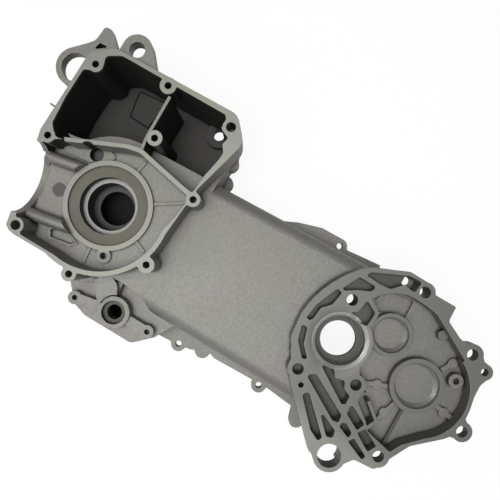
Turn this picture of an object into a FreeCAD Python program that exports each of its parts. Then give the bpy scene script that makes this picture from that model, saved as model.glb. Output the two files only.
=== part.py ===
import FreeCAD, Part
import math
import os

# Left half of a small scooter engine's crankcase with its belt chamber and gear case, one die casting.
# Millimetres. The origin is on the crank axis at the shoulder of the bearing seat.
# X runs along the arm to the drive shaft, Z up towards the joint face.

V = FreeCAD.Vector

# heights of the machined faces and floors
joint_face = 37.0
cover_face = -55.0
gear_face = 20.0
arm_top = 4.0
chamber_floor = 9.0
gear_floor = 4.0
wall = 4.5

# crank bearing, its ring and the seal bore behind it
crank = (0.0, 0.0)
ring_radius = 40.5
ring_inner_radius = 35.9
ring_height = 3.0
recess_depth = 2.3
bearing_radius = 26.0
bearing_depth = 9.7
lip_radius = 22.0
lip_depth = 20.0
seal_radius = 16.4
seal_boss_radius = 27.5
seal_boss_depth = 25.0
ring_boss = (18.8, -40.9)
ring_boss_radius = 6.7

# mouth for the cylinder spigot, its half bore and the two stud bosses
mouth_angle = math.radians(190.0)
mouth_distance = 67.2
mouth_wall = 5.0
spigot_radius = 31.4
mouth_low = -4.0
stud_sides = (23.4, -29.8)
stud_boss_radius = 5.2
stud_hole_radius = 3.4
stud_hole_depth = 26.0
stud_height = 17.0

# crank chamber and the two wells behind it; corners are (x, y) or (x, y, corner radius)
chamber_radius = 57.6
rim = 4.1
mouth_sides = (-44.0, 37.0)
crank_box_corners = (
    (-73.6, 29, 2),
    (-70.2, 106.5, 7),
    (-53, 120, 12),
    (64, 122.6, 13),
    (80.5, 104, 14),
    (66, 52, 12),
    (61, 0),
    (0, -59),
    (-50, -58.6, 5),
)
well_box_corners = (
    (-73, 30),
    (-70.2, 106.5, 7),
    (-53, 120, 12),
    (60, 121.5, 13),
    (75, 104, 12),
    (73, 30),
)
well_corners = (
    (-57, 30),
    (-61.7, 31.3),
    (-67.8, 39, 5),
    (-69, 63),
    (-67.6, 91, 3),
    (-58, 95, 3),
    (-54.4, 102, 4),
    (-56.8, 110, 4),
    (-45, 117, 10),
    (57.3, 117.5, 5),
    (57.6, 105.5, 3),
    (66.6, 101.5, 2),
    (65.2, 94.5, 2),
    (69.4, 88.5, 3),
    (69, 82, 6),
    (65.2, 64),
    (63.8, 46.5, 2),
    (15.5, 53.6, 14),
    (-1.7, 53.5),
    (-24.5, 44.2),
    (-53, 32),
)
joint_bolts = (
    ((-66.0, 27.9), 6.2, 3.0),
    ((-60.9, 99.7), 6.7, 3.0),
    ((0.9, 114.5), 7.1, 3.0),
    ((64.2, 110.7), 7.1, 4.2),
    ((13.1, 70.6), 6.7, 3.0),
    ((67.0, 42.0), 6.3, 3.0),
    ((60.3, -25.3), 7.1, 3.0),
    ((7.7, -64.4), 6.3, 3.0),
    ((-51.6, -51.1), 6.9, 4.2),
)
bolt_hole = 3.0
bolt_hole_depth = 24.0
well_floor = -44.0
well_base = 5.0
divider_thickness = 2.6
side_boss = (71.0, 92.5)
side_boss_radius = 8.5
side_boss_top = -18.0
side_boss_foot = -38.0
well_ear = (74.5, 74.5)
well_ear_radius = 8.2
well_drain = (46.0, 112.6)
well_drain_radius = 5.6
well_pad_radius = 13.0
well_pad_height = 7.0
drain = (-31.6, 34.6)
drain_radius = 6.3
drain_bottom = 1.0
blend_radius = 3.0
hollow_blend = 1.0
least_arc = 5.1
floor_rib = 2.6
floor_rib_height = 1.5

# belt chamber, the long arm of the casting
drive_x = 238.0
front_radius = 67.0
rear_radius = 74.0
arm_round = 13.0
front_bevel = 3.0
arm_split = 62.0
ceiling_slope = 5.0
draft = 3.4
flange_height = 8.0
flange_width = 6.0
ear_radius = 7.5
ear_hole_radius = 3.2
shelf = -13.0
front_screw_inset = 6.2
rear_screw_inset = 11.9
inner_screws = ((front_screw_inset - front_radius, 5.3), (drive_x + rear_radius - rear_screw_inset, -27.7))
screw_boss_radius = 6.5
screw_boss_height = 30.0
screw_hole_radius = 2.5
screw_hole_depth = 18.0
ceiling_ribs = 5
ceiling_rib = 3.0
ceiling_rib_height = 4.0
ceiling_rib_reach = 58.0
cover_ears = (
    ((114.3, -89.3), True),
    ((138.9, -83.4), False),
    ((205.6, -85.1), True),
    ((256.4, -96.9), False),
    ((206.5, 78.1), True),
)

# starter mount on the shelf
starter = (49.4, -83.4)
starter_radius = 15.0
starter_top = -1.0
starter_bore_radius = 7.0
starter_recess_radius = 10.8
starter_recess_depth = 5.0
starter_ears = ((11.1, -89.9), (84.8, -84.2))
starter_ear_radius = 6.3
starter_ear_top = -4.0
starter_hole_radius = 2.5

# gear case: drive shaft, counter shaft and final shaft
counter = (276.6, 26.5)
final = (319.4, -1.5)
gear_base = 6.0
gear_case_corners = (
    (198.6, -20, 14),
    (196, 8, 14),
    (222.5, 64, 9),
    (243, 74.2, 8),
    (261, 83, 5),
    (284, 82.4, 4),
    (290, 76.3, 3),
    (311, 76.2, 1.5),
    (311.6, 62.3, 4),
    (328, 54, 12),
    (350, 50),
    (363.5, 30),
    (364, 16, 20),
    (366.5, 4, 10),
    (368, -14),
    (365, -22.5),
    (359, -29.5, 8),
    (336.5, -49.6, 14),
    (328, -66, 8),
    (320, -83, 6),
    (300, -84.2, 5),
    (292, -95, 6),
    (262, -98, 6),
    (215.5, -50.5, 4),
    (209, -36, 10),
    (206, -28, 8),
)
gear_ear_web = ((340, 50), (361.4, 46.3), (367, 36, 4), (363.5, 27, 10), (363.7, 12), (345, 10))
drive_rim_radius = 25.4
drive_bearing_radius = 21.9
drive_bearing_depth = 12.0
drive_hole_radius = 16.2
drive_hole_depth = 5.0
drive_collar_radius = 28.9
counter_boss_radius = 19.4
counter_bearing_radius = 16.3
final_boss_radius = 24.7
final_bearing_radius = 20.5
bearing_rim = 12.5
pocket_depth = 9.0
slot_depth = 12.0
ear_thickness = 15.0
counter_room_radius = 38.2
final_room_radius = 43.8
bearing_slope = 3.0
pocket_hole = (266.6, 75.6)
pocket_hole_radius = 3.9
oil_level = (269.1, -26.7)
oil_level_radius = 9.0
breather = (347.8, 19.6)
breather_radius = 6.7
gear_ribs = (
    ((333.4, 21.5), (341.0, 35.0), (339.5, 32.0)),
    ((342.0, -8.0), (363.0, -11.5), (354.4, -10.8)),
    ((276.0, -24.0), (300.0, -14.5), (289.6, -18.5)),
    ((303.0, -54.0), (312.0, -24.0), (307.6, -37.3)),
)
gear_rib = 4.0
gear_rib_height = 3.0
gear_pad_radius = 4.4
gear_ears = (
    ((229.2, 36.2), 0.0, 5.1, True),
    ((218.1, -39.9), 9.4, 5.1, False),
    ((227.4, -50.8), 0.0, 2.5, False),
    ((269.1, -26.7), 0.0, 5.1, False),
    ((281.3, 73.8), 9.0, 5.1, True),
    ((344.6, 47.2), 9.6, 5.1, True),
    ((361.4, 39.2), 7.2, 3.4, True),
    ((370.0, -15.9), 9.1, 5.1, True),
    ((317.4, -71.3), 9.6, 5.1, True),
)

# mounting lugs
hanger = (-37.7, 128.3)
hanger_radius = 13.1
hanger_hole_radius = 6.8
hanger_top = 34.0
hanger_thickness = 13.5
shock = (279.7, -92.2)
shock_radius = 14.4
shock_hole_radius = 10.6
loop_top = 33.0
loop_thickness = 10.0
loop = (-76.0, 89.8)
loop_radius = 17.0
loop_hole_radius = 12.3
slot_in_horn = 9.0
fin_thickness = 1.4
fin_height = 8.0


# plan point along the mouth plane, side steps measured from the spigot axis
def mouth_point(side, distance=None):
    reach = mouth_distance if distance is None else distance
    along = (math.cos(mouth_angle), math.sin(mouth_angle))
    return (reach * along[0] + side * along[1], reach * along[1] - side * along[0])


# flat face inside a closed run of corners, each (x, y) or (x, y, corner radius); a small corner gets one flat
def outline(corner_list):
    count = len(corner_list)
    pairs = [(corner_list[index - 1], corner_list[index]) for index in range(count)]
    area = sum(one[0] * two[1] - two[0] * one[1] for one, two in pairs)
    points = corner_list if area > 0 else corner_list[::-1]
    corners = []
    for index in range(count):
        here = V(points[index][0], points[index][1], 0)
        before = V(points[index - 1][0], points[index - 1][1], 0) - here
        after = V(points[(index + 1) % count][0], points[(index + 1) % count][1], 0) - here
        radius = points[index][2] if len(points[index]) > 2 else 0.0
        half = before.getAngle(after) / 2
        reach = min(radius / math.tan(half), 0.49 * before.Length, 0.49 * after.Length)
        radius = reach * math.tan(half)
        flat = radius < least_arc
        if flat:
            reach = (radius / math.sin(half) - radius) / math.cos(half)
        before.normalize()
        after.normalize()
        if reach < 0.01 or math.pi - 2 * half < 0.01:
            corners.append((here, None, here))
            continue
        middle = None if flat else here + (before + after).normalize() * (radius / math.sin(half) - radius)
        corners.append((here + before * reach, middle, here + after * reach))
    edges = []
    for index in range(count):
        start, middle, end = corners[index]
        if middle is not None:
            edges.append(Part.Arc(start, middle, end).toShape())
        elif start != end:
            edges.append(Part.LineSegment(start, end).toShape())
        edges.append(Part.LineSegment(end, corners[(index + 1) % count][0]).toShape())
    return Part.Face(Part.Wire(edges))


# flat disc
def disc(at, radius):
    return Part.Face(Part.Wire(Part.makeCircle(radius, V(at[0], at[1], 0))))


# flat bar with round ends between two points
def bar(start, end, thickness):
    return hull(start, thickness / 2, end, thickness / 2)


# flat strip with square ends between two points
def strip(start, end, thickness):
    run = V(end[0] - start[0], end[1] - start[1], 0).normalize()
    side = V(-run.y, run.x, 0) * (thickness / 2)
    first = V(start[0], start[1], 0)
    last = V(end[0], end[1], 0)
    return Part.Face(Part.makePolygon([first + side, first - side, last - side, last + side, first + side]))


# flat face round two circles and the tangents between them
def hull(start, start_radius, end, end_radius):
    run = V(end[0] - start[0], end[1] - start[1], 0)
    lean = (start_radius - end_radius) / run.Length
    side = math.sqrt(1 - lean * lean)
    run.normalize()
    across = V(-run.y, run.x, 0)
    first = V(start[0], start[1], 0)
    last = V(end[0], end[1], 0)
    left = run * lean + across * side
    right = run * lean - across * side
    edges = [
        Part.LineSegment(first + right * start_radius, last + right * end_radius).toShape(),
        Part.Arc(last + right * end_radius, last + run * end_radius, last + left * end_radius).toShape(),
        Part.LineSegment(last + left * end_radius, first + left * start_radius).toShape(),
        Part.Arc(first + left * start_radius, first - run * start_radius, first + right * start_radius).toShape(),
    ]
    return Part.Face(Part.Wire(edges))


# solid raised from a flat face between two heights
def raised(face, low, high):
    solid = face.copy()
    solid.translate(V(0, 0, low))
    return solid.extrude(V(0, 0, high - low))


# upright cylinder between two heights
def rod(at, radius, low, high):
    return Part.makeCylinder(radius, high - low, V(at[0], at[1], low))


# upright edges of a solid that are real corners, not where a wall runs on smoothly
def upright_corners(solid, inner_only=False):
    reach = 0.2
    samples = 12
    turns = [2 * math.pi * (step + 0.5) / samples for step in range(samples)]
    chosen = []
    for edge in solid.Edges:
        start = edge.Vertexes[0].Point
        run = edge.Vertexes[-1].Point - start
        if edge.Curve.TypeId != "Part::GeomLine" or abs(run.x) + abs(run.y) > 0.001:
            continue
        middle = start + run * 0.5
        spots = [middle + V(reach * math.cos(turn), reach * math.sin(turn), 0) for turn in turns]
        filled = sum(solid.isInside(spot, 0.0001, False) for spot in spots)
        if filled > 0.6 * samples or (filled < 0.4 * samples and not inner_only):
            chosen.append(edge)
    return chosen


# several solids made one
def merged(solids):
    solid = solids[0].fuse(solids[1:]) if len(solids) > 1 else solids[0]
    return solid.removeSplitter()


# several flat faces raised together, with the inner corners between them rounded
def cluster(faces, low, high, radius=0.0):
    solid = merged([raised(face, low, high) for face in faces])
    edges = upright_corners(solid, True) if radius else []
    if not edges:
        return solid
    return solid.makeFillet(radius, edges) if radius > least_arc else solid.makeChamfer(radius / 2, edges)


# tool that cuts a hollow round the bosses standing in it, with all its corners blunted
def hollow(faces, bosses, low, high, radius):
    solid = merged([raised(face, low, high) for face in faces])
    if bosses:
        solid = solid.cut([raised(face, low - 1, high + 1) for face in bosses]).removeSplitter()
    edges = upright_corners(solid) if radius else []
    return solid.makeChamfer(radius, edges) if edges else solid


# outline of the crank box, without its bolt bosses
def crank_box_face():
    return outline([mouth_point(side) for side in mouth_sides] + list(crank_box_corners))


# crank box down to the underside of its floor
def crank_box():
    faces = [crank_box_face(), disc(crank, chamber_radius + rim)]
    faces += [disc(at, radius) for at, radius, hole in joint_bolts]
    return cluster(faces, mouth_low, joint_face, blend_radius)


# deep part of the box round the two wells
def well_box():
    low = well_floor - well_base
    solids = [
        raised(outline(well_box_corners), low, arm_top),
        rod(side_boss, side_boss_radius, side_boss_foot, side_boss_top),
        rod(well_ear, well_ear_radius, cover_face, cover_face + flange_height),
    ]
    return merged(solids)


# plan of the belt chamber, grown or shrunk from its outer wall
def belt_face(grow=0.0):
    return hull(crank, front_radius + grow, (drive_x, 0), rear_radius + grow)


# belt chamber solid up to a given height, leaning inwards as it rises
def belt_body(grow, top):
    lean = draft * (top - cover_face) / (arm_top - cover_face)
    foot = belt_face(grow).OuterWire.copy()
    foot.translate(V(0, 0, cover_face))
    head = belt_face(grow - lean).OuterWire.copy()
    head.translate(V(0, 0, top))
    return Part.makeLoft([foot, head], True, True)


# step in the side of the arm that makes room for the starter
def starter_step(grow=0.0):
    return outline([
        (44 - grow, -54.5 + grow, 0),
        (66 + grow, -57 + grow, 10),
        (81.5 + grow, -68.4 + grow, 5),
        (118 + grow, -67.5 + grow, 0),
        (118 + grow, -95, 0),
        (44 - grow, -95, 0),
    ])


# plan of the belt chamber's bulge under the starter
def starter_bulge(shrink=0.0):
    return outline([
        (-4 + shrink, -60, 4),
        (-3 + shrink, -80, 6),
        (11 + shrink, -97 + shrink, 9),
        (25.5, -102 + shrink, 12),
        (76, -103 + shrink, 8),
        (93 - shrink, -87, 10),
        (108 - shrink, -60, 5),
    ])


# edges of a solid that lie at one height
def edges_at(solid, height):
    return [edge for edge in solid.Edges if all(abs(spot.Z - height) < 0.01 for spot in edge.Vertexes)]


# outside of the belt chamber, tight at the crank end and soft along the arm
def belt_outside():
    reach = drive_x + rear_radius
    front = Part.makeBox(reach, 2 * reach, reach, V(arm_split - reach, -reach, cover_face - 1))
    whole = belt_body(0, arm_top)
    edges = edges_at(whole, arm_top)
    soft = whole.makeFillet(arm_round, edges).cut(front)
    tight = whole.makeChamfer(front_bevel, edges).common(front)
    step = raised(starter_step(), shelf, arm_top + 1)
    return merged([soft, tight]).cut(step)


# rim round the cover face with its screw ears
def cover_flange():
    faces = [
        disc((drive_x, 0), rear_radius + flange_width),
        outline([(84, -60, 0), (88, -91.5, 3), (103, -91, 4), (126.9, -88.5, 4), (138.9, -83.4, 0), (147, -60, 0)]),
        outline([(139, -60, 0), (139, -79, 0), (153, -84, 8), (214, -83.2, 10), (246, -86.8, 0), (246, -60, 0)]),
        outline([(146, 60, 0), (142, 70.5, 0), (158, 77.9, 20), (182, 85.2, 12), (206.5, 85.6, 0), (212, 60, 0)]),
        outline([(206, 60, 0), (206, 77.5, 0), (252, 81.8, 0), (252, 60, 0)]),
        bar((250, -76), cover_ears[3][0], 2 * ear_radius),
    ]
    faces += [disc(at, ear_radius) for at, drilled in cover_ears]
    return cluster(faces, cover_face, cover_face + flange_height, 2.5)


# gear case outline without its ears
def gear_case_face():
    return outline(gear_case_corners)


# gear case with its thinner bolt ears and the shock absorber lug
def gear_case():
    faces = [gear_case_face(), disc(shock, shock_radius)]
    faces.append(outline(gear_ear_web))
    faces += [disc(at, radius) for at, radius, hole, through in gear_ears if radius]
    ears = cluster(faces, gear_face - ear_thickness, gear_face, 5.0)
    deep = raised(gear_case_face(), gear_floor - gear_base, gear_face)
    return merged([ears, deep])


# hanger lug, cable loop and horn on the corner of the crank box
def lugs():
    hanger_face = hull(hanger, hanger_radius, (-32, 112), 19)
    lean = loop_radius * math.sqrt(0.5)
    loop_faces = [
        disc(loop, loop_radius),
        outline([(loop[0] - lean, loop[1] + lean), (loop[0] - 1.5, loop[1] + 2 * lean - 1.5, 8), (-72.6, 118, 10),
                 (-71.2, 132, 3), (-65, 132.5, 3), (-52, 120, 0), (-64, 95, 0)]),
    ]
    eye = hollow([disc(loop, loop_hole_radius)], [crank_box_face()], 0, joint_face, 0)
    slot_face = outline([(-70.5, 110.5, 1), (-68.4, 117.8, 1), (-59.5, 118.4, 1)])
    slot = raised(slot_face, loop_top - slot_in_horn, joint_face)
    parts = [
        raised(hanger_face, hanger_top - hanger_thickness, hanger_top),
        cluster(loop_faces, loop_top - loop_thickness, loop_top, 2.0).cut([eye, slot]),
        Part.makeBox(8, fin_thickness, fin_height, V(-79.5, 51.5, loop_top - fin_height)),
    ]
    return parts


# starter mount standing on the shelf
def starter_mount():
    foot = shelf - wall
    solids = [rod(starter, starter_radius, foot, starter_top)]
    for at in starter_ears:
        solids.append(raised(strip(starter, at, 2 * starter_ear_radius - 3), foot, starter_ear_top))
        solids.append(rod(at, starter_ear_radius, foot, starter_ear_top))
    block = outline([(17, -66, 2), (22, -58, 0), (38, -58, 0), (44, -70, 4), (40, -80, 0), (28, -80, 2)])
    band = outline([(0, -77, 2), (2, -60, 0), (24, -58, 0), (21, -67, 0), (9, -74, 2)])
    solids.append(raised(block, foot, starter_ear_top - 1))
    solids.append(raised(band, foot, starter_ear_top - 3))
    return merged(solids)


# room inside the belt chamber, open at the cover face
def belt_room():
    whole = raised(belt_face(-wall - draft), cover_face, arm_top - wall)
    sloped = whole.makeChamfer(ceiling_slope, edges_at(whole, arm_top - wall))
    step = raised(starter_step(wall), shelf - wall, arm_top)
    bulge = raised(starter_bulge(wall), cover_face, shelf - wall)
    return merged([sloped.cut(step), bulge])


# plan of the two wells together, drawn to the middle of the wall between them and the crank chamber
def wells_face():
    return outline(well_corners)


# bolt boss discs that stand in the rim of the box
def boss_faces():
    return [disc(at, radius) for at, radius, hole in joint_bolts]


# crank chamber down to its floor
def crank_chamber():
    left = outline([
        mouth_point(-37, mouth_distance - mouth_wall),
        mouth_point(34, mouth_distance - mouth_wall),
        (-50, 34, 0),
        (-24.5, 44.2, 0),
        (-1.7, 51.5, 0),
        (30, 49, 0),
        (64, 43, 0),
        (61, 20, 0),
        (50, -20, 0),
        (0, -56.8, 0),
        (-44, -56, 3),
    ])
    return hollow([disc(crank, chamber_radius), left], boss_faces(), chamber_floor, joint_face, hollow_blend)


# both wells, shallow over the belt chamber and deep beyond it
def wells():
    shallow = hollow([wells_face()], boss_faces(), arm_top, joint_face, hollow_blend)
    deep = raised(wells_face(), well_floor, arm_top)
    return [shallow, deep.cut(belt_body(0, arm_top))]


# wall between the crank chamber and the wells, and the thin wall between the wells
def partitions():
    curved = outline([
        (-53.1, 33.3, 0),
        (-25.3, 45.8, 60),
        (-3.5, 55, 30),
        (8, 57.6, 12),
        (62.5, 46.2, 0),
        (61.5, 42.4, 0),
        (8, 53.6, 12),
        (-3.5, 51.2, 30),
        (-23.8, 42.4, 60),
        (-50.9, 30.6, 0),
    ])
    solids = [raised(curved, arm_top, joint_face)]
    corner = (6.6, 68)
    for start, end in (((6.6, 107.5), corner), (corner, (8.6, 54))):
        divider = raised(strip(start, end, divider_thickness), well_floor, joint_face - 1)
        solids.append(divider.cut(belt_body(-wall / 2, arm_top - wall / 2)))
    at, radius, hole = joint_bolts[4]
    solids.append(rod(at, radius, well_floor, joint_face))
    square = outline([(-41.1, 85.9, 1), (-44.8, 111.5, 1), (-17.9, 113.8, 1), (-20.2, 84.5, 1)])
    gusset = outline([(-60, 38), (-42.2, 40.9), (-50, 33)])
    solids.append(raised(square, well_floor - 1, well_floor + 2))
    solids.append(raised(gusset, arm_top, joint_face / 2))
    drain_pad = rod(well_drain, well_pad_radius, well_floor, well_floor + well_pad_height)
    solids.append(drain_pad.common(raised(wells_face(), well_floor - 1, 0)))
    return solids


# screw bosses inside the belt chamber wall and ribs on its ceiling
def belt_features():
    ceiling = arm_top - wall
    solids = []
    for at in inner_screws:
        solids.append(rod(at, screw_boss_radius, cover_face, cover_face + screw_boss_height))
    for turn in range(0, 360, 360 // ceiling_ribs):
        angle = math.radians(turn)
        end = (drive_x + ceiling_rib_reach * math.cos(angle), ceiling_rib_reach * math.sin(angle))
        solids.append(raised(strip((drive_x, 0), end, ceiling_rib), ceiling - ceiling_rib_height, arm_top))
    return [solid.common(belt_body(-wall / 2, arm_top - wall / 2)) for solid in solids]


# ring, seal boss and everything else that stands on the chamber floor
def chamber_features():
    solids = [
        rod(crank, ring_radius, arm_top, chamber_floor + ring_height),
        rod(crank, seal_boss_radius, -seal_boss_depth, arm_top),
        rod(ring_boss, ring_boss_radius, arm_top, chamber_floor + ring_height),
    ]
    for side in stud_sides:
        start = mouth_point(side, mouth_distance - 1)
        end = mouth_point(side, 30)
        run = V(end[0] - start[0], end[1] - start[1], 0)
        solids.append(Part.makeCylinder(stud_boss_radius, run.Length, V(start[0], start[1], stud_height), run))
        solids.append(raised(strip(start, end, 2 * stud_boss_radius), arm_top, stud_height))
    for end in ((9.6, 50.9), (48.3, -19.8), (5.8, -55), (62, 39)):
        solids.append(raised(strip(crank, end, floor_rib), arm_top, chamber_floor + floor_rib_height))
    pad = outline([(-62, 27, 2), (-25.4, 45, 2), (-15, 41, 2), (-17.2, 35.7, 2), (-34, 25.8, 2), (-57, 23, 2)])
    slot = outline([(-36, -44.5, 1.5), (-21.3, -36.8, 1.5), (-8, -43.5, 1.5), (-20, -51.5, 1.5)])
    solids.append(raised(pad, arm_top, chamber_floor + floor_rib_height))
    solids.append(raised(slot, arm_top, chamber_floor + floor_rib_height))
    return solids


# bores of the crank stack, the spigot and the oil drain
def crank_bores():
    top = chamber_floor + ring_height
    shoulder = top - recess_depth - bearing_depth
    axis = V(math.cos(mouth_angle), math.sin(mouth_angle), 0)
    start = axis * (mouth_distance - mouth_wall - 2)
    tools = [
        rod(crank, ring_inner_radius, top - recess_depth, top),
        rod(crank, ring_radius, top, joint_face),
        rod(crank, bearing_radius, shoulder, top),
        rod(crank, lip_radius, shoulder - lip_depth, shoulder),
        rod(crank, seal_radius, cover_face, shoulder - lip_depth + 1),
        rod(drain, drain_radius, drain_bottom, joint_face),
        rod(ring_boss, bolt_hole, shoulder, joint_face),
        raised(outline([(-32.5, -44.3, 1), (-21.3, -38.8, 1), (-11.5, -43.8, 1), (-20.2, -49, 1)]),
               chamber_floor - 2, joint_face),
        Part.makeCylinder(spigot_radius, 40, start + V(0, 0, joint_face), axis),
    ]
    for side in stud_sides:
        spot = mouth_point(side, mouth_distance + 5)
        tools.append(Part.makeCylinder(stud_hole_radius, stud_hole_depth, V(spot[0], spot[1], stud_height), -axis))
    return tools


# holes for the joint bolts
def joint_holes():
    tools = []
    for at, radius, hole in joint_bolts:
        tools.append(rod(at, hole, joint_face - bolt_hole_depth, joint_face))
    return tools


# pockets between the ribs of the gear case
def gear_pockets():
    shallow = (
        [(201.6, -4.5, 2), (205.5, -18, 4), (216.5, -30.2, 2), (221, -28.5, 1.5), (211.5, -18.5, 4), (207, -4, 1.5)],
        [(205.3, 2, 1.5), (202, 3, 1.5), (204, 17, 6), (213, 38.5, 3), (218.3, 37.3, 2), (216, 24, 6),
         (208.8, 16.5, 3), (207.5, 4.5, 1)],
        [(216.5, 40.6, 2), (224.8, 57, 3), (242, 56.5, 2.5), (240, 51, 4), (228, 45.6, 8), (219.5, 40, 1.5)],
        [(229, 61, 2.5), (231.5, 65.5, 3), (262, 79.5, 4), (274.6, 80, 2), (273.5, 68.7, 3), (262, 70.5, 3),
         (253.5, 61, 6), (243, 60.3, 8)],
        [(233, 26.5, 1.5), (238.8, 29.5, 2), (240.8, 42.5, 2), (252.6, 36.2, 3), (251.8, 22.8, 2), (243, 21.5, 8)],
    )
    deep = (
        [(232.6, -26, 1.5), (246, -24.6, 1.5), (250, -30.5, 3), (259, -28.3, 3), (262, -35, 6), (269.5, -38, 2),
         (269.7, -49.6, 4)],
        [(226.7, -40.5, 3), (234, -35.6, 3), (271.5, -56, 2), (272.4, -63, 2), (266.5, -63.8, 2)],
        [(232.5, -57.5, 3), (236, -52.2, 3), (266.5, -81.5, 2), (264.5, -86, 2), (254, -80.5, 3)],
        [(255.5, -65, 1.5), (258, -63.4, 1.5), (273, -70.5, 2), (275, -77.2, 3), (268.8, -78.8, 2.5)],
        [(274.7, -61.5, 1.5), (278.5, -60, 1.5), (287, -65.2, 1.5), (286.8, -70.8, 2), (274.8, -65.5, 1.5)],
        [(287.6, -73, 1.5), (290.8, -67.8, 2), (307.8, -77, 1.5), (306, -81, 2)],
        [(274, -45.5, 2), (275.8, -44, 2), (293, -53, 2), (289.8, -60.8, 2), (274.8, -52.6, 1.5)],
        [(291, -62.6, 1.5), (295.4, -56, 1.5), (311.5, -64.5, 1.5), (307, -72.5, 2)],
    )
    well = outline([(261.5, 71, 1.5), (261.5, 79.3, 1), (274.6, 80, 2), (273.5, 68.7, 3)])
    sump = outline([(255.8, 38.5, 1), (248.6, 50.8, 2), (260.5, 61, 4), (282, 63.6, 1), (282.3, 45.5, 1)])
    tools = [raised(well, gear_floor - 3, gear_face), raised(sump, gear_floor - 3, gear_face)]
    tools += [raised(outline(points), gear_face - pocket_depth, gear_face) for points in shallow]
    tools += [raised(outline(points), gear_face - slot_depth, gear_face) for points in deep]
    return tools


# room for the final gears, round both gear axes and down to the tail
def gear_room():
    faces = [
        disc(counter, counter_room_radius),
        disc(final, final_room_radius),
        outline([counter, (counter[0], counter[1] + counter_room_radius), (288, 64.2, 10), (300, 62.4, 12),
                 (341, 39.5, 0), (330, 0, 0)]),
        outline([(345, -37, 0), (329.5, -52.6, 8), (324, -63, 3), (298.2, -56.8, 2), (292.4, -50, 2), (278, -39, 2),
                 (276.6, -31, 2), (290, -20, 0), final]),
    ]
    bosses = [
        disc((drive_x, 0), drive_collar_radius),
        disc(oil_level, oil_level_radius),
        hull((246, -27), 1.5, oil_level, 5.0),
        outline([(225, 50, 0), (225, 10, 0), (256, 10, 0), (255.6, 38, 1.5), (243, 46, 0)]),
    ]
    room = hollow(faces, bosses, gear_floor, gear_face, 0)
    passage = raised(outline([(264, -11), (285, -5), (292, -22), (278, -29), (266.5, -16)]), gear_floor, gear_face)
    room = room.fuse(passage.cut([raised(face, gear_floor - 1, gear_face + 1) for face in bosses[:2]]))
    fin = raised(strip((285.8, -33.4), (302.4, -47.2), 2.8), gear_floor - 1, gear_face)
    end = raised(strip((300.6, -45.6), (295.4, -55.8), 3.0), gear_floor - 1, gear_face)
    return room.cut([fin, end])


# bearing bosses, pads and ribs standing in the gear room
def gear_features():
    solids = [
        rod(counter, counter_boss_radius, gear_floor - 1, bearing_rim),
        rod(final, final_boss_radius, gear_floor - 1, bearing_rim),
        rod(breather, breather_radius, gear_floor - 1, bearing_rim - 1),
        rod((317, 49.5), 4.4, gear_floor - 1, bearing_rim),
        raised(strip((320.4, -20), (320.8, -61.5), 2.4), gear_floor - 1, gear_floor + 4),
    ]
    for start, end, pad in gear_ribs:
        faces = [strip(start, end, gear_rib), disc(pad, gear_pad_radius)]
        solids.append(cluster(faces, gear_floor - 1, gear_floor + gear_rib_height))
    return solids


# bearing seats and bolt holes of the gear case
def gear_bores():
    drive = (drive_x, 0)
    tools = [
        rod(drive, drive_bearing_radius, gear_face - drive_bearing_depth, gear_face),
        rod(drive, drive_hole_radius, cover_face, gear_face),
        rod(drive, drive_hole_radius + wall, -wall, gear_face - drive_bearing_depth - drive_hole_depth),
        rod(shock, shock_hole_radius, cover_face, gear_face),
        rod(breather, bolt_hole, cover_face, gear_face),
        rod(pocket_hole, pocket_hole_radius, cover_face, gear_floor),
    ]
    for at, radius in ((counter, counter_bearing_radius), (final, final_bearing_radius)):
        tools.append(rod(at, radius, gear_floor + bearing_slope, gear_face))
        tools.append(Part.makeCone(radius - bearing_slope, radius, bearing_slope, V(at[0], at[1], gear_floor)))
    tools.append(Part.makeCone(drive_bearing_radius, drive_rim_radius, 1.8, V(drive_x, 0, gear_face - 1.8)))
    for at, radius, hole, through in gear_ears:
        tools.append(rod(at, hole, cover_face if through else gear_face - bolt_hole_depth / 2, gear_face))
    return tools


# holes of the lugs, the starter mount and the cover ears
def outer_bores():
    tools = [
        rod(hanger, hanger_hole_radius, 0, joint_face),
        rod(starter, starter_recess_radius, starter_top - starter_recess_depth, joint_face),
        rod(starter, starter_bore_radius, cover_face, joint_face),
        rod(well_drain, well_drain_radius, cover_face, well_floor + well_pad_height),
    ]
    for at in starter_ears:
        tools.append(rod(at, starter_hole_radius, shelf, starter_ear_top))
    for at in inner_screws:
        tools.append(rod(at, screw_hole_radius, cover_face, cover_face + screw_hole_depth))
    for at, drilled in cover_ears:
        if drilled:
            tools.append(rod(at, ear_hole_radius, cover_face, cover_face + flange_height))
    return tools


# the whole casting
def crankcase_half():
    outside = [crank_box(), well_box(), belt_outside(), raised(starter_bulge(), cover_face, shelf)]
    outside += [cover_flange(), gear_case()]
    outside += lugs()
    casting = merged(outside)
    casting = casting.cut([crank_chamber(), belt_room(), gear_room()] + wells() + gear_pockets())
    inner = partitions() + belt_features() + chamber_features() + gear_features()
    casting = merged([casting, starter_mount()] + inner)
    casting = casting.cut(crank_bores() + joint_holes() + gear_bores() + outer_bores())
    return casting.removeSplitter()


os.makedirs("parts", exist_ok=True)
casting = crankcase_half()
print("solids", len(casting.Solids), "valid", casting.isValid(), "faces", len(casting.Faces))
print("volume", round(casting.Volume / 1000, 1), "cm3, box", casting.optimalBoundingBox())
casting.exportStep("parts/crankcase_half.step")
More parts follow.
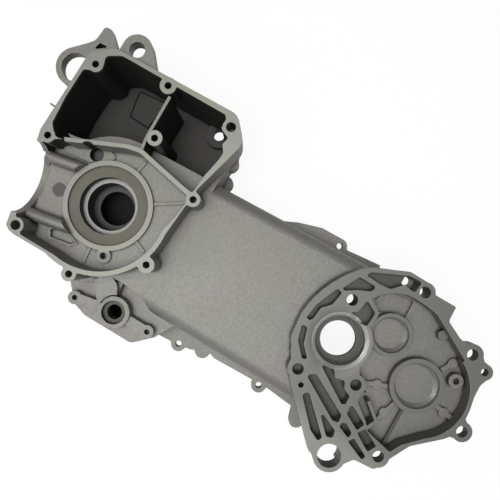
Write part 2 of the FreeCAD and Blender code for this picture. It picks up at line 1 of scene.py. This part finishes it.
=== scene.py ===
import math
import bpy
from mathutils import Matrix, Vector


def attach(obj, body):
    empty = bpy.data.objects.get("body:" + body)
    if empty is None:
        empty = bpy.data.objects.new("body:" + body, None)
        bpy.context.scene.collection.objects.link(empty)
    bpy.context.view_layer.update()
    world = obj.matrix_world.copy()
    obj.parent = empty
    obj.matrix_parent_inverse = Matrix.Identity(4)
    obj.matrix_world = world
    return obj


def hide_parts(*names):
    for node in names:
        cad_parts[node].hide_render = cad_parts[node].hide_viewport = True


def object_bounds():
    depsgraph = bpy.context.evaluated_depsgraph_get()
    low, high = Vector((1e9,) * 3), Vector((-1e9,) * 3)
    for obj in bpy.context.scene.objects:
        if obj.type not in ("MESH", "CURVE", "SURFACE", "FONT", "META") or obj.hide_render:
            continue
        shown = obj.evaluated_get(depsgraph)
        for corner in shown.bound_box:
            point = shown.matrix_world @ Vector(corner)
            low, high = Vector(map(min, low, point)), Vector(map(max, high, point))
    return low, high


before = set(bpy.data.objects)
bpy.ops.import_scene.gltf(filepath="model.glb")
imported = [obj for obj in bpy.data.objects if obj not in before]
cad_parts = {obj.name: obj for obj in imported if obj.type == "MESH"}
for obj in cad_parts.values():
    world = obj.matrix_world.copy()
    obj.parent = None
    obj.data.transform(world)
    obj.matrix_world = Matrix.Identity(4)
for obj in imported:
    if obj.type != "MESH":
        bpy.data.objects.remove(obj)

cadBounds = [list(corner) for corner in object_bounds()]


# one socket of a material, with Python's operators adding Math nodes
class Wire:
    def __init__(self, board, socket):
        self.board = board
        self.socket = socket

    def combine(self, operation, first, second):
        node = self.board.add("ShaderNodeMath", {"operation": operation}, {0: first, 1: second})
        return Wire(self.board, node.outputs[0])

    def __add__(self, other):
        return self.combine("ADD", self, other)

    def __radd__(self, other):
        return self.combine("ADD", other, self)

    def __sub__(self, other):
        return self.combine("SUBTRACT", self, other)

    def __rsub__(self, other):
        return self.combine("SUBTRACT", other, self)

    def __mul__(self, other):
        return self.combine("MULTIPLY", self, other)

    def __rmul__(self, other):
        return self.combine("MULTIPLY", other, self)

    def __gt__(self, other):
        return self.combine("GREATER_THAN", self, other)

    def __lt__(self, other):
        return self.combine("LESS_THAN", self, other)

    def power(self, other):
        return self.combine("POWER", self, other)

    def most(self, other):
        return self.combine("MAXIMUM", self, other)

    def size(self):
        return self.combine("ABSOLUTE", self, 0.0)

    def wave(self):
        return self.combine("SINE", self, 0.0)


# a node tree and the few ways this file adds to it
class Board:
    def __init__(self, tree):
        self.tree = tree
        tree.nodes.clear()

    def add(self, kind, settings=None, sockets=None):
        node = self.tree.nodes.new(kind)
        for name, value in (settings or {}).items():
            setattr(node, name, value)
        for name, value in (sockets or {}).items():
            self.feed(node.inputs[name], value)
        return node

    def feed(self, socket, value):
        if isinstance(value, Wire):
            self.tree.links.new(value.socket, socket)
        elif isinstance(value, bpy.types.NodeSocket):
            self.tree.links.new(value, socket)
        else:
            socket.default_value = value

    # the point in metres, and its three parts in millimetres
    def place(self):
        spot = self.add("ShaderNodeTexCoord").outputs["Object"]
        parts = self.add("ShaderNodeSeparateXYZ", None, {0: spot})
        return spot, [Wire(self, parts.outputs[axis]) * 1000.0 for axis in ("X", "Y", "Z")]

    def noise(self, spot, scale, detail, rough):
        sockets = {"Vector": spot, "Scale": scale, "Detail": detail, "Roughness": rough}
        return Wire(self, self.add("ShaderNodeTexNoise", {"noise_dimensions": "3D"}, sockets).outputs[0])

    def fade(self, value, low, high, start=0.0, end=1.0):
        settings = {"interpolation_type": "SMOOTHSTEP"}
        sockets = {"Value": value, "From Min": low, "From Max": high, "To Min": start, "To Max": end}
        return Wire(self, self.add("ShaderNodeMapRange", settings, sockets).outputs[0])

    def blend(self, factor, first, second, mode="MIX"):
        sockets = {"Factor": factor, 6: first, 7: second}
        node = self.add("ShaderNodeMix", {"data_type": "RGBA", "blend_type": mode}, sockets)
        return Wire(self, node.outputs[2])

    def shader(self, factor, first, second):
        return self.add("ShaderNodeMixShader", None, {0: factor, 1: first, 2: second}).outputs[0]


# 1 where a value is within reach of a level, 0 elsewhere
def near(value, level, reach):
    return (value - level).size() < reach


# 1 where any of the masks is 1
def anyOf(masks):
    mask = masks[0]
    for other in masks[1:]:
        mask = mask.most(other)
    return mask


# distance from an upright axis
def distance(x, y, at):
    return ((x - at[0]).power(2.0) + (y - at[1]).power(2.0)).power(0.5)


# the casting, in millimetres
casting = {
    "node": "crankcase_half",

    # upright axes
    "axes": {
        "crank": (0.0, 0.0),
        "drive": (238.0, 0.0),
        "counter": (276.6, 26.5),
        "final": (319.4, -1.5),
        "starter": (49.4, -83.4),
        "drain": (-31.6, 34.6),
        "ejector": (-45.6, -9.4),
    },

    # levels of the machined faces, and how far a face may be from its level
    "jointFace": 37.0,
    "gearFace": 20.0,
    "ringTop": 12.0,
    "recessFloor": 9.7,
    "bearingRim": 12.5,
    "shoulder": 0.0,
    "pocketFloors": (11.0, 8.0),
    "levelReach": 0.2,

    # where those faces are
    "gearStart": 200.0,
    "gearMillStart": 190.0,
    # where painted light brightens the gear face toward the lug at its end
    "lugLightFade": (-60.0, -84.0),
    "ringReach": 42.0,
    "shoulderReach": 26.5,
    "recessReach": 36.5,
    "caseWallSpan": (4.2, 19.7),

    # seats: axis, radius, reach each way, lowest and highest level
    "turnedSeats": (
        ("counter", 15.0, 1.6, (4.2, 12.3)),
        ("final", 19.1, 1.6, (4.2, 12.3)),
        ("drive", 23.6, 2.0, (7.8, 19.9)),
    ),
    # painted shade on the walls of the crank bearing seat and of the starter recess
    "shadedSeats": (
        ("crank", 26.0, 0.3, (-1.0, 9.6)),
        ("starter", 10.8, 0.3, (-6.5, 37.0)),
    ),

    # bores painted dark inside as painted shade: axis, radius, level of the rim
    "bores": (
        ("crank", 22.5, -0.5),
        ("starter", 7.5, -6.2),
        ("drain", 6.5, 8.9),
    ),

    # round floors painted dark, the ejector mark in its own tone and the starter recess floor as painted
    # shade: axis, radius, lowest and highest level
    "discs": (
        ("ejector", 6.0, (8.0, 10.0)),
        ("starter", 10.6, (-56.0, -5.0)),
    ),

    # the wells: lean and height of the edge toward the crank, left and right end
    "wellEdges": (
        (-0.42, 43.0, -72.0, 20.0),
        (0.2, 58.0, 19.0, 72.0),
    ),
    "wellTop": 36.9,
    "wellBack": 119.0,
    "wellMiddle": (0.0, 85.0),
    "wellReach": 25.0,
    # where the painted shade in the wells fades in, with depth and below the rim
    "wellFade": (-5.0, -15.0),
    "wellRimFade": (36.8, 33.0),

    # forms added: corners seen from above, with their lowest and highest level
    "plateau": (
        (-37.5, -44.5), (-34.5, -40.0), (-20.8, -36.6), (-6.5, -43.2), (-12.0, -49.4), (-33.5, -52.5),
    ),
    "plateauHeights": (6.0, 10.2),
    "caseEdge": (
        (210.5, -38.0), (207.5, -27.0), (200.5, -18.0), (198.0, 8.0), (223.5, 62.5), (243.5, 72.8),
        (259.0, 80.5), (256.5, 80.9), (239.7, 74.0), (228.9, 68.4), (221.9, 62.6), (213.6, 53.0),
        (206.2, 40.5), (202.0, 31.0), (199.0, 21.6), (197.2, 13.0), (196.4, 4.6), (196.9, -4.5),
        (198.7, -13.0), (201.2, -21.0), (204.6, -29.5),
    ),
    "caseHeights": (-2.0, 20.0),
    "starterLug": (
        (20.9, -66.9), (21.3, -63.7), (23.5, -61.1), (32.2, -55.6), (35.6, -56.3), (38.7, -58.0),
        (41.5, -60.7), (43.9, -64.0), (45.3, -66.6), (42.0, -68.3), (39.1, -71.0), (36.9, -74.4),
        (35.7, -78.2), (35.5, -81.3), (31.3, -79.2), (28.2, -75.7), (25.8, -69.8),
    ),
    "lugHeights": (-17.0, 3.97),

    # the stud tunnel carried up to the ring: two ends and a radius, and the ring that it stops at
    "studRun": ((-29.0, -35.3, 17.0), (-14.0, -32.7, 17.0)),
    "studRadius": 5.2,
    "ring": ((0.0, 0.0), 40.4, 5.0, 30.0),

    # forms cut away
    "slot": ((-33.9, -44.3), (-32.5, -42.5), (-19.8, -39.1), (-9.5, -43.4), (-12.5, -46.7), (-31.3, -49.7)),
    "slotHeights": (6.2, 14.0),
    "channel": (
        (33.2, -55.0), (38.8, -54.8), (45.2, -54.7), (50.0, -55.1), (51.1, -60.0),
        (47.8, -63.8), (45.2, -64.5), (42.7, -60.9), (39.4, -57.5), (36.3, -55.9),
    ),
    "channelHeights": (-2.0, 4.3),
    "earReliefs": (
        ((351.5, 47.8), 7.0, -3.0, 8.0),
        ((365.7, 39.4), 4.6, 3.0, 11.0),
        ((376.2, -17.1), 7.0, 3.0, 10.0),
        ((323.1, -74.4), 7.0, -3.0, 8.0),
        ((351.5, 19.9), 6.0, -1.0, 6.0),
    ),
    "ejectorLine": ((-45.6, -9.4, 9.0), 6.2, 0.42),
    "padOutside": ((-42.6, 84.6), (-46.4, 112.7), (-16.4, 115.2), (-18.9, 83.1)),
    "padInside": ((-41.0, 86.0), (-44.7, 111.4), (-18.0, 113.7), (-20.3, 84.6)),
    "padHeights": (-46.0, -40.0),
    "padInsideHeights": (-47.0, -39.0),

    "segments": 48,
    "lineSegments": 8,
    "mergeGap": 0.00001,
    "smoothAngle": 28.0,
}


# its surface: colours, then scale, detail and roughness of each noise, then shares and fades
metal = {
    "cast": (0.212, 0.208, 0.192, 1.0),
    "castDark": (0.145, 0.143, 0.133, 1.0),
    "castLight": (0.245, 0.241, 0.224, 1.0),
    "castPink": (0.228, 0.203, 0.190, 1.0),
    "castGreen": (0.200, 0.213, 0.186, 1.0),
    "milled": (0.235, 0.234, 0.215, 1.0),
    "milledTint": (0.243, 0.241, 0.206, 1.0),
    # painted reflection: the gear face colour is darker than the milled colour
    "gearFaceDarkReflection": (0.160, 0.159, 0.146, 1.0),
    "turned": (0.29, 0.288, 0.272, 1.0),
    # painted shade on the seat walls
    "seatShade": (0.05, 0.05, 0.05, 1.0),
    # painted shade on the gear pocket floors and the gear case walls
    "pocketShade": (0.070, 0.070, 0.065, 1.0),
    # painted reflection: the turned recess floor round the crank bearing is darker and brownish
    "recess": (0.138, 0.130, 0.106, 1.0),
    # painted shade inside the bores
    "paintedBoreShade": (0.065, 0.065, 0.067, 1.0),
    # the ejector mark's own darker tone, and painted shade on the starter recess floor
    "discToneAndShade": (0.085, 0.084, 0.079, 1.0),
    # painted highlight on the edges
    "edge": (0.42, 0.418, 0.395, 1.0),
    # painted shade inside the wells
    "well": (0.022, 0.022, 0.021, 1.0),

    "mottle": (17.0, 3.0, 0.5),
    "grain": (420.0, 3.0, 0.6),
    "fine": (1500.0, 2.0, 0.6),
    "patch": (11.0, 2.0, 0.55),
    "broad": (7.0, 3.0, 0.6),

    "greenFade": (0.38, 0.62),
    "plainFade": (0.4, 0.6, 0.1, 0.45),
    "lightFade": (0.42, 0.62, 0.0, 0.5),
    "darkFade": (0.35, 0.7, 0.0, 0.45),
    "tintFade": (0.5, 0.62),
    "pocketShadeShare": 0.85,
    "caseWallShadeShare": 0.5,
    "wellWallShare": 0.93,
    "wellFloorShare": 0.85,

    "topSlope": 0.97,
    "sideSlope": 0.5,
    "edgeRadius": 0.0006,
    "edgeSamples": 4,
    "edgeHighlightFade": (0.985, 0.88),
    "edgeHighlightShare": 0.55,
    # painted shade in crevices, from ambient occlusion
    "creviceReach": 0.004,
    "creviceSamples": 6,
    "creviceShadeFade": (0.30, 0.85, 0.35, 1.0),

    "lineTurns": 9.0,
    "lineHeight": 0.3,
    "grainHeight": 0.6,
    "fineHeight": 0.4,
    "machinedSmooth": 0.85,
    "bumpStrength": 0.35,
    "bumpDepth": 0.0006,

    "castRough": 0.62,
    "milledRough": 0.60,
    "turnedRough": 0.36,
    "roughSpread": 0.12,
    "metallic": 0.75,
}


def castingMaterial():
    material = bpy.data.materials.new("castAluminium")
    material.use_nodes = True
    board = Board(material.node_tree)
    spot, (x, y, z) = board.place()
    facing = board.add("ShaderNodeNewGeometry").outputs["Normal"]
    slopes = board.add("ShaderNodeSeparateXYZ", None, {0: facing})
    slopeX, slopeY, upward = [Wire(board, slopes.outputs[axis]) for axis in ("X", "Y", "Z")]
    top = upward > metal["topSlope"]
    side = upward.size() < metal["sideSlope"]
    reach = {name: distance(x, y, at) for name, at in casting["axes"].items()}

    def topAt(level):
        return top * near(z, level, casting["levelReach"])

    def between(span):
        return (z > span[0]) * (z < span[1])

    # milled faces lie at the machined levels
    onGear = x > casting["gearStart"]
    onGearFace = x > casting["gearMillStart"]
    milled = topAt(casting["jointFace"])
    milled = milled.most(topAt(casting["gearFace"]) * onGearFace)
    milled = milled.most(topAt(casting["bearingRim"]) * onGear)
    milled = milled.most(topAt(casting["ringTop"]) * (reach["crank"] < casting["ringReach"]))
    shoulder = topAt(casting["shoulder"]) * (reach["crank"] < casting["shoulderReach"])
    # painted reflection darkens the recess floor round the crank bearing
    recess = topAt(casting["recessFloor"]) * (reach["crank"] < casting["recessReach"])
    # painted shade darkens the gear pocket floors and the gear case walls
    pocketShade = anyOf([topAt(level) for level in casting["pocketFloors"]]) * onGear
    caseWallShade = side * onGear * between(casting["caseWallSpan"])

    # seats, bores and discs lie round their own axes; painted shade darkens the walls of the crank bearing
    # seat and the starter recess
    turned = anyOf([near(reach[axis], radius, width) * between(span)
                    for axis, radius, width, span in casting["turnedSeats"]])
    seatShade = anyOf([near(reach[axis], radius, width) * between(span)
                  for axis, radius, width, span in casting["shadedSeats"]])
    # painted shade inside the bores, below their rims
    paintedBoreShade = anyOf([(reach[axis] < radius) * (z < level) for axis, radius, level in casting["bores"]])
    # the ejector mark's own darker tone, and painted shade on the starter recess floor
    discToneAndShade = anyOf([top * (reach[axis] < radius) * between(span) for axis, radius, span in casting["discs"]])

    # painted shade: the wells behind the crank chamber are painted near black on their floors deep down and on
    # their walls below the rim, and their outer walls are not
    behind = anyOf([(y + lean * x > height) * (x > left) * (x < right)
                    for lean, height, left, right in casting["wellEdges"]])
    middleX, middleY = casting["wellMiddle"]
    outward = slopeX * (x - middleX) + slopeY * (y - middleY)
    well = behind * (z < casting["wellTop"]) * (y < casting["wellBack"])
    well = well * (outward < casting["wellReach"]) * (upward > -metal["sideSlope"])
    depth = board.fade(z, *casting["wellFade"])
    wellWall = board.fade(z, *casting["wellRimFade"]) * side * metal["wellWallShare"]

    # the cast skin
    mottle, grain, fine, patch, broad = [
        board.noise(spot, *metal[name]) for name in ("mottle", "grain", "fine", "patch", "broad")]
    colour = board.blend(board.fade(mottle, *metal["greenFade"]), metal["castPink"], metal["castGreen"])
    colour = board.blend(board.fade(patch, *metal["plainFade"]), colour, metal["cast"])
    colour = board.blend(board.fade(broad, *metal["lightFade"]), colour, metal["castLight"])
    colour = board.blend(board.fade(grain, *metal["darkFade"]), colour, metal["castDark"])

    # the milled tone varies at random; painted reflection makes the gear face darker than the joint face, and
    # painted light brings the lug at its end back to the joint face's tone
    lugStart, lugEnd = casting["lugLightFade"]
    milledToneAndReflection = board.blend(board.fade(patch, *metal["tintFade"]), metal["milled"], metal["milledTint"])
    milledToneAndReflection = board.blend(board.fade(y, lugStart, lugEnd) * onGearFace, milledToneAndReflection, metal["milled"])
    milledToneAndReflection = board.blend(board.fade(y, lugEnd, lugStart) * onGearFace, milledToneAndReflection, metal["gearFaceDarkReflection"])

    # painted shade on the gear pocket floors and the gear case walls
    colour = board.blend(pocketShade * metal["pocketShadeShare"], colour, metal["pocketShade"])
    colour = board.blend(caseWallShade * metal["caseWallShadeShare"], colour, metal["pocketShade"])
    colour = board.blend(shoulder, colour, metal["turned"])
    colour = board.blend(milled, colour, milledToneAndReflection)
    for mask, name in ((turned, "turned"), (seatShade, "seatShade"), (recess, "recess"), (paintedBoreShade, "paintedBoreShade"), (discToneAndShade, "discToneAndShade")):
        colour = board.blend(mask, colour, metal[name])
    # painted shade in the wells
    colour = board.blend(well * wellWall.most(depth * metal["wellFloorShare"]), colour, metal["well"])

    # painted highlight: the edges are painted lighter where the rounded normal turns away from the face
    rounded = board.add("ShaderNodeBevel", {"samples": metal["edgeSamples"]},
                        {"Radius": metal["edgeRadius"]}).outputs[0]
    turn = board.add("ShaderNodeVectorMath", {"operation": "DOT_PRODUCT"}, {0: rounded, 1: facing})
    edge = board.fade(Wire(board, turn.outputs["Value"]), *metal["edgeHighlightFade"])
    colour = board.blend(edge * (1.0 - well * depth.most(side)) * metal["edgeHighlightShare"], colour, metal["edge"])
    # painted shade: crevices are painted darker, by ambient occlusion multiplied into the base colour
    hollow = board.add("ShaderNodeAmbientOcclusion", {"samples": metal["creviceSamples"]},
                       {"Distance": metal["creviceReach"]})
    creviceShade = board.fade(Wire(board, hollow.outputs["AO"]), *metal["creviceShadeFade"])
    shade = board.add("ShaderNodeCombineColor", None, {0: creviceShade, 1: creviceShade, 2: creviceShade}).outputs[0]
    colour = board.blend(1.0, colour, shade, "MULTIPLY")

    # turning lines round the seats, and the blasted skin elsewhere
    lines = (reach["crank"] * metal["lineTurns"]).wave() * recess.most(turned) * metal["lineHeight"]
    skin = grain * metal["grainHeight"] + fine * metal["fineHeight"]
    skin = skin * (1.0 - milled.most(turned).most(recess) * metal["machinedSmooth"])
    bump = board.add("ShaderNodeBump", None, {
        "Strength": metal["bumpStrength"],
        "Distance": metal["bumpDepth"],
        "Height": skin + lines,
        "Normal": rounded,
    })

    rough = metal["castRough"] + (fine - 0.5) * metal["roughSpread"]
    rough = rough + milled * (metal["milledRough"] - metal["castRough"])
    rough = rough + turned * (metal["turnedRough"] - metal["castRough"])
    surface = board.add("ShaderNodeBsdfPrincipled", None, {
        "Base Color": colour,
        "Roughness": rough,
        "Metallic": metal["metallic"],
        "Normal": bump.outputs[0],
    })
    board.add("ShaderNodeOutputMaterial", None, {"Surface": surface.outputs[0]})
    return material


def metres(values):
    return [value / 1000.0 for value in values]


# makes a piece the only one that is selected
def choose(piece):
    bpy.ops.object.select_all(action="DESELECT")
    piece.select_set(True)
    bpy.context.view_layer.objects.active = piece


# upright prism on a run of corners
def prism(corners, low, high):
    bpy.ops.object.select_all(action="DESELECT")
    bpy.ops.mesh.primitive_circle_add(vertices=len(corners), radius=0.01, fill_type="NGON")
    piece = bpy.context.object
    for vertex, corner in zip(piece.data.vertices, corners):
        vertex.co = metres((corner[0], corner[1], low))
    bpy.ops.object.mode_set(mode="EDIT")
    bpy.ops.mesh.select_all(action="SELECT")
    bpy.ops.mesh.extrude_region_move(TRANSFORM_OT_translate={"value": metres((0.0, 0.0, high - low))})
    bpy.ops.mesh.select_all(action="SELECT")
    bpy.ops.mesh.normals_make_consistent(inside=False)
    bpy.ops.object.mode_set(mode="OBJECT")
    return piece


# upright cylinder, with its place in its mesh
def cylinder(at, radius, low, high):
    count = casting["segments"]
    turns = [2.0 * math.pi * step / count for step in range(count)]
    corners = [(at[0] + radius * math.cos(turn), at[1] + radius * math.sin(turn)) for turn in turns]
    return prism(corners, low, high)


# lying cylinder between two points
def lyingCylinder(start, end, radius):
    run = [two - one for one, two in zip(start, end)]
    length = math.dist(start, end)
    bpy.ops.object.select_all(action="DESELECT")
    bpy.ops.mesh.primitive_cylinder_add(
        vertices=casting["segments"], radius=radius / 1000.0, depth=length / 1000.0,
        location=metres([one + part / 2 for one, part in zip(start, run)]),
        rotation=(math.pi / 2, 0.0, math.atan2(run[1], run[0]) - math.pi / 2))
    bpy.ops.object.transform_apply(location=True, rotation=True, scale=True)
    return bpy.context.object


# thin round line to cut into a floor
def roundLine(at, radius, depth):
    bpy.ops.object.select_all(action="DESELECT")
    bpy.ops.mesh.primitive_torus_add(
        location=metres(at), major_radius=radius / 1000.0, minor_radius=depth / 1000.0,
        major_segments=casting["segments"], minor_segments=casting["lineSegments"])
    bpy.ops.object.transform_apply(location=True, rotation=True, scale=True)
    return bpy.context.object


# one mesh made of several
def joined(pieces):
    choose(pieces[0])
    for piece in pieces[1:]:
        piece.select_set(True)
    bpy.ops.object.join()
    return bpy.context.object


# adds a tool to a piece or takes it away, and removes the tool
def worked(piece, tool, operation):
    choose(piece)
    bpy.ops.object.modifier_add(type="BOOLEAN")
    modifier = piece.modifiers[-1]
    modifier.operation = operation
    modifier.solver = "EXACT"
    modifier.object = tool
    bpy.ops.object.modifier_apply(modifier=modifier.name)
    bpy.data.objects.remove(tool)
    return piece


def buildCasting():
    choose(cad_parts[casting["node"]])
    bpy.ops.object.duplicate()
    piece = bpy.context.object
    piece.name = "shownCasting"
    bpy.ops.mesh.customdata_custom_splitnormals_clear()
    bpy.ops.object.mode_set(mode="EDIT")
    bpy.ops.mesh.select_all(action="SELECT")
    bpy.ops.mesh.remove_doubles(threshold=casting["mergeGap"])
    bpy.ops.object.mode_set(mode="OBJECT")
    print("casting copied", len(piece.data.polygons))

    stud = lyingCylinder(*casting["studRun"], casting["studRadius"])
    stud = worked(stud, cylinder(*casting["ring"]), "DIFFERENCE")
    plateau = prism(casting["plateau"], *casting["plateauHeights"])
    caseEdge = prism(casting["caseEdge"], *casting["caseHeights"])
    starterLug = prism(casting["starterLug"], *casting["lugHeights"])
    piece = worked(piece, joined([plateau, caseEdge, starterLug, stud]), "UNION")
    print("plateau, case edge, starter lug and stud added", len(piece.data.polygons))

    slot = prism(casting["slot"], *casting["slotHeights"])
    channel = prism(casting["channel"], *casting["channelHeights"])
    reliefs = [cylinder(*relief) for relief in casting["earReliefs"]]
    ejectorLine = roundLine(*casting["ejectorLine"])
    padLine = prism(casting["padOutside"], *casting["padHeights"])
    padLine = worked(padLine, prism(casting["padInside"], *casting["padInsideHeights"]), "DIFFERENCE")
    piece = worked(piece, joined([slot, channel] + reliefs + [ejectorLine, padLine]), "DIFFERENCE")
    print("slot, channel, reliefs and lines cut", len(piece.data.polygons))

    choose(piece)
    bpy.ops.object.shade_smooth_by_angle(angle=math.radians(casting["smoothAngle"]))
    piece.data.materials.clear()
    piece.data.materials.append(castingMaterial())
    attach(piece, "root")
    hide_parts(casting["node"])
    print("casting dressed")


buildCasting()


studio = {
    "floorSize": 8.0,
    "floorHeight": cadBounds[0][2],
    "floorSpot": (0.14, 0.02),
    "floorGlow": 0.9,
    "boreShades": (((-149.0, -22.0), 30.0), ((-97.1, -112.6), 10.0)),    # under the bores, from its middle
    "white": (1.0, 1.0, 1.0, 1.0),
    "paper": (0.85, 0.85, 0.85, 1.0),
    "shadeTone": (0.02, 0.02, 0.02, 1.0),
    "skyFade": (0.0, 0.75, 0.10, 0.55),    # with height
    "leanFade": (0.1, -0.7, 0.0, 0.12),    # a little more from the front
    "camera": (0.12965, 0.02924, 0.4436),
    "turn": 30.0,
    "lens": 34.85,
    "sensor": 36.0,
    "clip": 0.01,
    "lamps": (
        ("topLamp", (0.02, -0.12, 1.1), 0.6, 9.8),
        ("keyLamp", (-0.25, -0.75, 0.85), 0.9, 1.8),
    ),
    "lampAim": 0.13,
}


# white to the camera, a plain pale floor to the light, and painted shade under the bores
def floorMaterial():
    material = bpy.data.materials.new("paleFloor")
    material.use_nodes = True
    board = Board(material.node_tree)
    spot, (x, y, z) = board.place()
    shade = anyOf([distance(x, y, at) < radius for at, radius in studio["boreShades"]])
    seen = Wire(board, board.add("ShaderNodeLightPath").outputs["Is Camera Ray"]) * (1.0 - shade)
    tone = board.blend(shade, studio["paper"], studio["shadeTone"])
    paper = board.add("ShaderNodeBsdfDiffuse", None, {"Color": tone}).outputs[0]
    glow = board.add("ShaderNodeEmission", None, {"Color": studio["white"], "Strength": 1.0}).outputs[0]
    surface = board.shader(seen * studio["floorGlow"], paper, glow)
    board.add("ShaderNodeOutputMaterial", None, {"Surface": surface})
    return material


def buildStudio():
    bpy.ops.object.select_all(action="DESELECT")
    middle = (*studio["floorSpot"], studio["floorHeight"])
    bpy.ops.mesh.primitive_plane_add(size=studio["floorSize"], location=middle)
    floor = bpy.context.object
    floor.name = "studioFloor"
    floor.data.materials.append(floorMaterial())

    world = bpy.data.worlds.new("studioSky")
    bpy.context.scene.world = world
    world.use_nodes = True
    board = Board(world.node_tree)
    direction = board.add("ShaderNodeTexCoord").outputs["Generated"]
    parts = board.add("ShaderNodeSeparateXYZ", None, {0: direction})
    level = board.fade(Wire(board, parts.outputs["Z"]), *studio["skyFade"])
    level = level + board.fade(Wire(board, parts.outputs["Y"]), *studio["leanFade"])
    seen = Wire(board, board.add("ShaderNodeLightPath").outputs["Is Camera Ray"])
    strength = seen + (1.0 - seen) * level
    light = board.add("ShaderNodeBackground", None, {"Color": studio["white"], "Strength": strength})
    board.add("ShaderNodeOutputWorld", None, {"Surface": light.outputs[0]})

    for name, spot, size, power in studio["lamps"]:
        bpy.ops.object.light_add(type="AREA", location=spot)
        lamp = bpy.context.object
        lamp.name = name
        lamp.data.size = size
        lamp.data.energy = power
        aim = -lamp.location
        aim.x += studio["lampAim"]
        lamp.rotation_euler = aim.to_track_quat("-Z", "Y").to_euler()

    bpy.ops.object.camera_add(location=studio["camera"], rotation=(0.0, 0.0, math.radians(studio["turn"])))
    camera = bpy.context.object
    camera.name = "photoCamera"
    camera.data.lens = studio["lens"]
    camera.data.sensor_width = studio["sensor"]
    camera.data.clip_start = studio["clip"]
    bpy.context.scene.camera = camera
    print("studio built")


buildStudio()
bpy.context.scene.view_settings.view_transform = "Standard"
